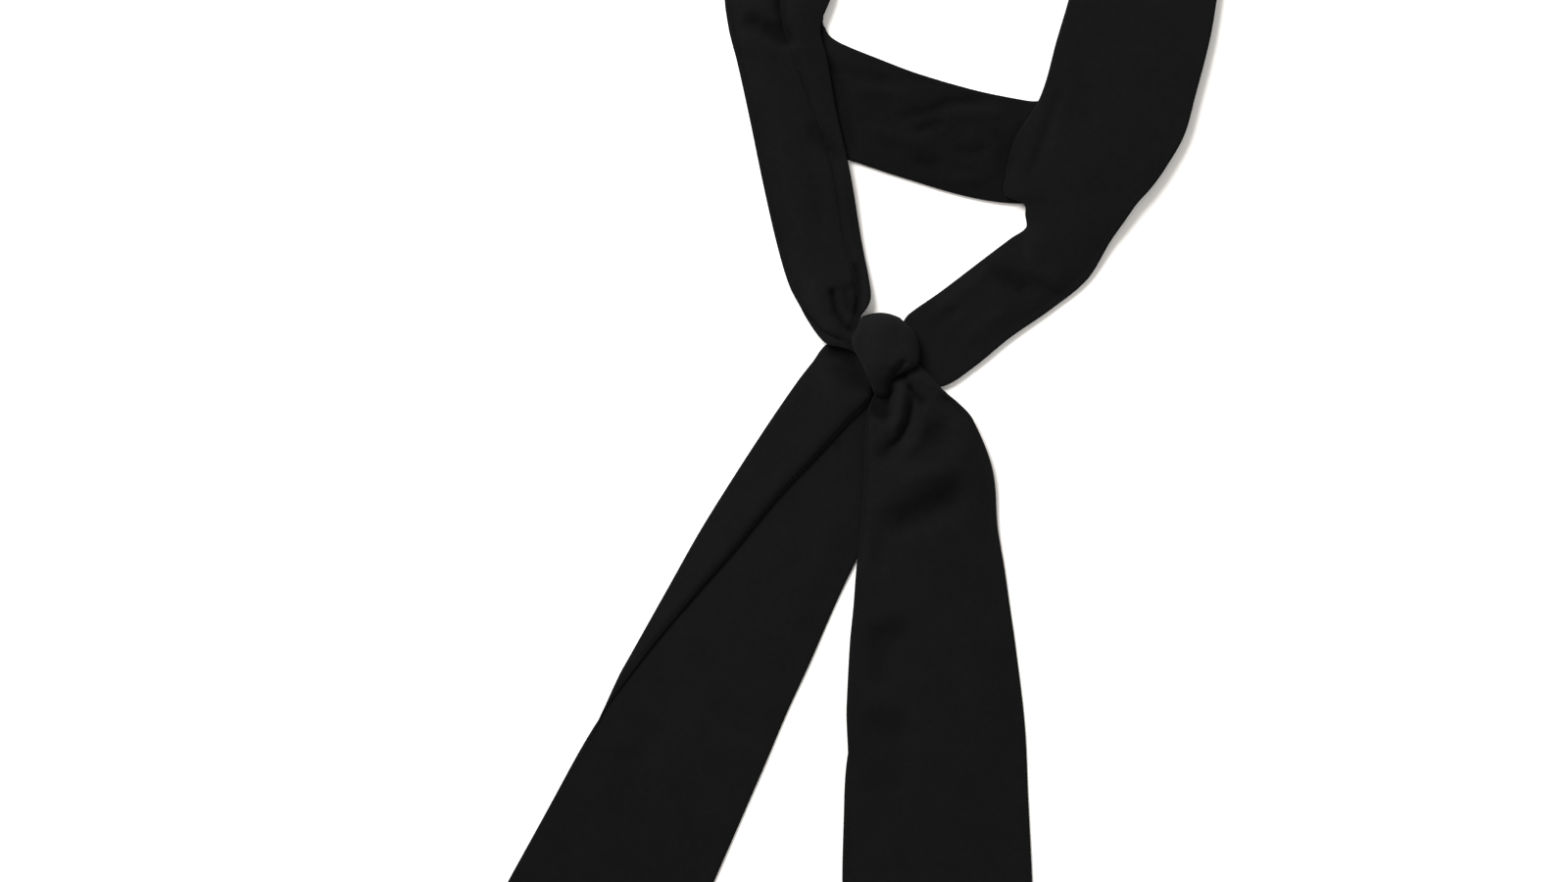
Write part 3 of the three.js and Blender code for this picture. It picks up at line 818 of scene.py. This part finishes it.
def shell_faces(sections: int, points: int) -> Array:
    """Return the faces round a grid of [section][point][side], closed at its sides and ends.

    Args:
        sections: how many the grid has.
        points: how many each section has.

    Returns:
        The four vertices of each face.
    """
    grid = np.arange(sections * points * 2).reshape(sections, points, 2)
    top, under = grid[..., 0], grid[..., 1]
    corners = (
        (top[:-1, :-1], top[:-1, 1:], top[1:, 1:], top[1:, :-1]),
        (under[:-1, :-1], under[1:, :-1], under[1:, 1:], under[:-1, 1:]),
        (top[:-1, 0], top[1:, 0], under[1:, 0], under[:-1, 0]),
        (under[:-1, -1], under[1:, -1], top[1:, -1], top[:-1, -1]),
        (top[0, :-1], under[0, :-1], under[0, 1:], top[0, 1:]),
        (under[-1, :-1], top[-1, :-1], top[-1, 1:], under[-1, 1:]),
    )
    return np.concatenate([np.stack(four, axis=-1).reshape(-1, 4) for four in corners])


@dataclass(frozen=True)
class Black:
    """A matt black finish, whose colour goes from a darker tint to a lighter one."""

    name: str
    color: Color
    tints: Point  # the darker and the lighter, as shares of the colour
    roughness: float
    gloss: float = 0.03

    def start(self) -> tuple[Material, "Nodes", Node, Node]:
        """Start a material.

        Returns:
            The material, its nodes, its shader and the mix of its tints.
        """
        material = bpy.data.materials.new(self.name)
        material.use_nodes = True
        tree = Nodes(material.node_tree)
        shader = tree.find("BSDF_PRINCIPLED")
        tint = tree.add("ShaderNodeMix", data_type="RGBA")
        set_inputs(shader, {"Roughness": self.roughness, "Specular IOR Level": self.gloss})
        set_inputs(tint, {k: (*(t * c for c in self.color), 1.0) for k, t in zip("AB", self.tints)})
        tree.join((tint, "Result", shader, "Base Color"))
        return material, tree, shader, tint


@dataclass(frozen=True)
class BlackCloth(Black):
    """The matt black cloth: a fine plain weave with a crepe grain and a slight bloom, with light and
    shade painted into its colour.
    """

    name: str = "black_cloth"
    color: Color = (0.0042, 0.0042, 0.0044)
    tints: Point = (0.67, 1.35)
    roughness: float = 0.92
    sheen: float = 0.012
    sheen_roughness: float = 0.55
    mottle: Point = (60.0, 0.45)  # scale of the noise, and how much of the tint it takes
    fleck: Point = (330.0, 0.55)
    lighter: float = 0.3  # how far the painted light and shade move the tint, as a share of its range
    thread: float = 0.00062  # pitch of the weave, in metres
    weave: Point = (0.22, 0.0002)  # strength and depth of its bump
    grain: float = 520.0
    crepe: Point = (0.30, 0.0004)  # the same of the grain's bump

    def material(self) -> Material:
        """Make the cloth's material.

        Returns:
            The material.
        """
        material, tree, shader, tint = self.start()
        set_inputs(shader, {"Sheen Weight": self.sheen, "Sheen Roughness": self.sheen_roughness})
        place = tree.add("ShaderNodeTexCoord")
        mottle = tree.noise(place.outputs["Object"], self.mottle[0])
        fleck = tree.noise(place.outputs["Object"], self.fleck[0])
        # painted light and shade: the vertices' values move the tint lighter or darker
        pull = tree.add("ShaderNodeAttribute", attribute_name="pull")
        both = tree.math("MULTIPLY_ADD", mottle.outputs["Fac"], self.mottle[1])
        small = tree.math("MULTIPLY", fleck.outputs["Fac"], self.fleck[1])
        shading_mix = tree.math("MULTIPLY_ADD", pull.outputs["Fac"], self.lighter)
        tint.clamp_factor = False
        warp, weft = (tree.wave(place.outputs["UV"], 1.0 / self.thread, way) for way in "XY")
        weave = tree.math("MAXIMUM", warp.outputs["Fac"], 0.0)
        crepe = tree.noise(place.outputs["Object"], self.grain)
        fine, bump = tree.add("ShaderNodeBump"), tree.add("ShaderNodeBump")
        for node, (strength, depth) in ((fine, self.weave), (bump, self.crepe)):
            set_inputs(node, {"Strength": strength, "Distance": depth})
        tree.join(
            (small, 0, both, 2),
            (both, 0, shading_mix, 2),
            (shading_mix, 0, tint, "Factor"),
            (weft, "Fac", weave, 1),
            (weave, 0, fine, "Height"),
            (crepe, "Fac", bump, "Height"),
            (fine, "Normal", bump, "Normal"),
            (bump, "Normal", shader, "Normal"),
        )
        return material


@dataclass(frozen=True)
class BlackThread(Black):
    """The sewing thread of the hems, dyed with the cloth."""

    name: str = "black_thread"
    color: Color = (0.0040, 0.0040, 0.0042)
    tints: Point = (0.8, 1.2)
    roughness: float = 0.88
    twist: float = 2600.0  # scale of the noise that stands for its twist

    def material(self) -> Material:
        """Make the thread's material.

        Returns:
            The material.
        """
        material, tree, _, tint = self.start()
        place = tree.add("ShaderNodeTexCoord")
        twist = tree.noise(place.outputs["Object"], self.twist, detail=1.0)
        tree.join((twist, "Fac", tint, "Factor"))
        return material


def set_inputs(node: Node, values: Values) -> None:
    """Set a node's own values, by the names or numbers of its inputs."""
    for name, value in values.items():
        node.inputs[name].default_value = value


def placed(name: str, data: ID) -> Object:
    """Put a new object into the scene.

    Args:
        name: its name.
        data: its mesh, curve, lamp or camera.

    Returns:
        The object.
    """
    made = bpy.data.objects.new(name, data)
    bpy.context.scene.collection.objects.link(made)
    return made


@dataclass
class Nodes:
    """Short ways to build a node tree."""

    tree: NodeTree

    def find(self, kind: str) -> Node:
        """Return the tree's first node of a type."""
        return next(n for n in self.tree.nodes if n.type == kind)

    def add(self, kind: str, **settings: object) -> Node:
        """Add a node.

        Args:
            kind: its type.
            settings: its properties.

        Returns:
            The node.
        """
        node = self.tree.nodes.new(kind)
        for name, value in settings.items():
            setattr(node, name, value)
        return node

    def join(self, *links: tuple[Node, Key, Node, Key]) -> None:
        """Make links, each from a node's output to another's input."""
        for source, out, target, into in links:
            self.tree.links.new(source.outputs[out], target.inputs[into])

    def fed(self, kind: str, into: Key, source: NodeSocket, values: Values, **settings: str) -> Node:
        """Add a node that an output feeds.

        Args:
            kind: its type.
            into: the input that is fed.
            source: the output that feeds it.
            values: what its other inputs are set to.
            settings: its properties.

        Returns:
            The node.
        """
        node = self.add(kind, **settings)
        set_inputs(node, values)
        self.tree.links.new(source, node.inputs[into])
        return node

    def noise(self, place: NodeSocket, scale: float, detail: float = 4.0) -> Node:
        """Add a noise texture that reads a place."""
        return self.fed("ShaderNodeTexNoise", "Vector", place, {"Scale": scale, "Detail": detail})

    def wave(self, place: NodeSocket, bands: float, way: str) -> Node:
        """Add a wave texture of bands across X or Y, with the given bands to a metre."""
        values = {"Scale": bands / WAVE_TURN * 2.0 * math.pi, "Distortion": 0.0}
        return self.fed("ShaderNodeTexWave", "Vector", place, values, bands_direction=way)

    def math(self, way: str, value: NodeSocket, by: float) -> Node:
        """Add a math node of an input and a number."""
        return self.fed("ShaderNodeMath", 0, value, {1: by}, operation=way)


@dataclass
class ClothPiece:
    """One piece of the scarf: its strips as one closed mesh, with its hem thread."""

    name: str
    strips: tuple[Strip, ...]
    replaces: tuple[str, ...]
    length: float  # of the flat cloth, in metres

    def build(self, cloth: Material) -> Object:
        """Args:
            cloth: the cloth's material.

        Returns:
            The finished piece.
        """
        vertices, faces, flats, painted_shadings, base = [], [], [], [], 0
        for strip in self.strips:
            v, f, flat = strip.geometry()
            vertices.append(v)
            flats.append(flat)
            painted_shadings.append(strip.pull())
            faces.append(f + base)
            base += len(v)
        mesh = bpy.data.meshes.new(self.name)
        mesh.from_pydata(np.concatenate(vertices).tolist(), [], np.concatenate(faces).tolist())
        flat = np.concatenate(flats)
        layer = mesh.uv_layers.new(name="cloth")
        corners = np.zeros(len(mesh.loops), dtype=np.int32)
        mesh.loops.foreach_get("vertex_index", corners)
        layer.data.foreach_set("uv", flat[corners].ravel())
        # the painted light and shade that the cloth's colour follows
        mesh.attributes.new("pull", "FLOAT", "POINT").data.foreach_set("value", np.concatenate(painted_shadings))
        mesh.polygons.foreach_set("use_smooth", np.ones(len(mesh.polygons), dtype=bool))
        mesh.materials.append(cloth)
        piece = placed(self.name, mesh)
        make_normals_outward(piece)
        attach(piece, BODY)
        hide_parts(*self.replaces)
        log.info("%s: %d faces", self.name, len(mesh.polygons))
        return piece


def make_normals_outward(piece: Object) -> None:
    """Turn every face of a closed mesh outwards.

    Args:
        piece: the mesh's object.
    """
    shell = bmesh.new()
    shell.from_mesh(piece.data)
    bmesh.ops.recalc_face_normals(shell, faces=shell.faces)
    shell.to_mesh(piece.data)
    shell.free()


@dataclass(frozen=True)
class HemThread:
    """The running stitches along the hems, made by geometry nodes."""

    pitch: float = 0.0032  # in metres, as are the others
    stitch: float = 0.0021
    thickness: float = 0.0003
    sides: int = 5

    def node_tree(self, thread: Material) -> GeometryNodeTree:
        """Return the tree that sets a stitch at each step along a line.

        Args:
            thread: the thread's material.

        Returns:
            A tree with the inputs Pitch, Stitch and Thickness.
        """
        tree = bpy.data.node_groups.new("hem_thread", "GeometryNodeTree")
        face = tree.interface
        face.new_socket("Geometry", in_out="INPUT", socket_type="NodeSocketGeometry")
        for name in ("Pitch", "Stitch", "Thickness"):
            face.new_socket(name, in_out="INPUT", socket_type="NodeSocketFloat")
        face.new_socket("Geometry", in_out="OUTPUT", socket_type="NodeSocketGeometry")
        nodes = Nodes(tree)
        given, result = nodes.add("NodeGroupInput"), nodes.add("NodeGroupOutput")
        steps = nodes.add("GeometryNodeResampleCurve", mode="LENGTH")
        tangent = nodes.add("GeometryNodeInputTangent")
        turn = nodes.add("FunctionNodeAlignRotationToVector", axis="Z")
        stitch = nodes.add("GeometryNodeMeshCylinder", fill_type="TRIANGLE_FAN")
        place = nodes.add("GeometryNodeInstanceOnPoints")
        real = nodes.add("GeometryNodeRealizeInstances")
        dress = nodes.add("GeometryNodeSetMaterial")
        set_inputs(stitch, {"Vertices": self.sides})
        set_inputs(dress, {"Material": thread})
        nodes.join(
            (given, "Geometry", steps, "Curve"),
            (given, "Pitch", steps, "Length"),
            (given, "Stitch", stitch, "Depth"),
            (given, "Thickness", stitch, "Radius"),
            (tangent, 0, turn, "Vector"),
            (steps, "Curve", place, "Points"),
            (stitch, "Mesh", place, "Instance"),
            (turn, "Rotation", place, "Rotation"),
            (place, "Instances", real, "Geometry"),
            (real, "Geometry", dress, "Geometry"),
            (dress, "Geometry", result, "Geometry"),
        )
        return tree

    def build(self, name: str, lines: list[Array], thread: Material) -> Object:
        """Build the stitches along the lines as one plain mesh.

        Args:
            name: the piece's name.
            lines: the points of each line, in metres.
            thread: the thread's material.

        Returns:
            The finished piece.
        """
        curve = bpy.data.curves.new(name + "_path", "CURVE")
        curve.dimensions = "3D"
        for line in lines:
            spline = curve.splines.new("POLY")
            spline.points.add(len(line) - 1)
            spline.points.foreach_set("co", np.hstack([line, np.ones((len(line), 1))]).ravel())
        path = placed(name + "_path", curve)
        tree = self.node_tree(thread)
        made = path.modifiers.new("stitches", "NODES")
        made.node_group = tree
        sizes = {"Pitch": self.pitch, "Stitch": self.stitch, "Thickness": self.thickness / 2}
        for item in tree.interface.items_tree:
            if item.in_out == "INPUT" and item.name in sizes:
                made[item.identifier] = sizes[item.name]
        seen = path.evaluated_get(bpy.context.evaluated_depsgraph_get())
        mesh = bpy.data.meshes.new_from_object(seen)
        mesh.name = name
        piece = placed(name, mesh)
        bpy.data.objects.remove(path)
        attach(piece, BODY)
        log.info("%s: %d faces", name, len(mesh.polygons))
        return piece


@dataclass(frozen=True)
class Lamp:
    """A soft round lamp that faces the scarf."""

    name: str
    place: tuple[float, float, float]  # in metres
    size: float  # its width, in metres
    power: float  # in watts

    def build(self) -> None:
        """Add the lamp to the scene."""
        lamp = bpy.data.lights.new(self.name, "AREA")
        lamp.shape, lamp.size, lamp.energy = "DISK", self.size, self.power
        stand = placed(self.name, lamp)
        x, y, z = self.place
        stand.location = self.place
        stand.rotation_euler = (math.atan2(math.hypot(x, y), z), 0.0, math.atan2(x, -y))


@dataclass(frozen=True)
class Studio:
    """The pale table, the soft light from the upper left and the camera straight above."""

    picture_mm: float = 842.1  # width of the table that the picture shows
    centre: Point = (-54.2, -46.3)
    height: float = 2.0  # of the camera, in metres
    sensor: float = 36.0
    table_size: float = 6.0  # from its middle to each side, in metres
    table_color: Color = (0.95, 0.92, 0.88)
    table_roughness: float = 0.9
    table_gloss: float = 0.1
    lamps: tuple[Lamp, ...] = (
        Lamp("window", (-1.12, 1.42, 1.5), 1.3, 98.0),
        Lamp("fill", (1.5, -0.7, 2.0), 2.2, 6.0),
    )
    sky: float = 0.62  # strength of the light from all round

    def floor(self) -> None:
        """Build the table top."""
        size = self.table_size
        mesh = bpy.data.meshes.new("table_top")
        corners = [(-size, -size, 0), (size, -size, 0), (size, size, 0), (-size, size, 0)]
        mesh.from_pydata(corners, [], [(0, 1, 2, 3)])
        material = bpy.data.materials.new("white_table")
        material.use_nodes = True
        shader = Nodes(material.node_tree).find("BSDF_PRINCIPLED")
        set_inputs(shader, {"Base Color": (*self.table_color, 1.0), "Roughness": self.table_roughness})
        set_inputs(shader, {"Specular IOR Level": self.table_gloss})
        mesh.materials.append(material)
        placed("table_top", mesh)

    def build(self) -> None:
        """Build the table, the lights, the world and the camera."""
        self.floor()
        for lamp in self.lamps:
            lamp.build()
        world = bpy.data.worlds.new("room")
        world.use_nodes = True
        sky = Nodes(world.node_tree).find("BACKGROUND")
        set_inputs(sky, {"Color": (1.0, 1.0, 1.0, 1.0), "Strength": self.sky})
        bpy.context.scene.world = world
        bpy.context.scene.view_settings.view_transform = "Standard"
        camera = bpy.data.cameras.new("camera")
        camera.sensor_width = self.sensor
        camera.lens = self.sensor * self.height / (self.picture_mm * MM)
        holder = placed("camera", camera)
        holder.location = (self.centre[0] * MM, self.centre[1] * MM, self.height)
        bpy.context.scene.camera = holder


def pieces() -> tuple[ClothPiece, ...]:
    """Plan the scarf.

    Returns:
        Its pieces of cloth.
    """
    front = Strip("front", FRONT_ROWS, FRONT_CREASES, hem_at_start=True)
    back = Strip("back", BACK_ROWS, BACK_CREASES)
    turn = Strip("turn", TURN_ROWS, TURN_CREASES, fine=0.7, coarse=0.7, flap_points=5, hem_sides=False)
    tail = Strip("tail", TAIL_ROWS, TAIL_CREASES, hem_at_end=True)
    return (
        ClothPiece("gathered_tail_and_left_strand", (front,), ("right_tail", "left_neck_strand"), 0.93),
        ClothPiece("throat_band_and_right_strand", (back,), ("throat_band", "right_neck_strand"), 0.85),
        ClothPiece("knot_turn_and_folded_tail", (turn, tail), ("knot_turn", "left_tail"), 0.44),
    )


def main() -> None:
    """Build the scarf and its studio."""
    logging.basicConfig(level=logging.INFO, format="%(name)s: %(message)s")
    Studio().build()
    cloth, thread = BlackCloth().material(), BlackThread().material()
    for plan in pieces():
        piece = plan.build(cloth)
        lines = [line for strip in plan.strips if strip.hem_sides for line in strip.hem_lines()]
        stitches = HemThread().build(plan.name + "_hem_thread", lines, thread)


if __name__ == "__main__":
    main()
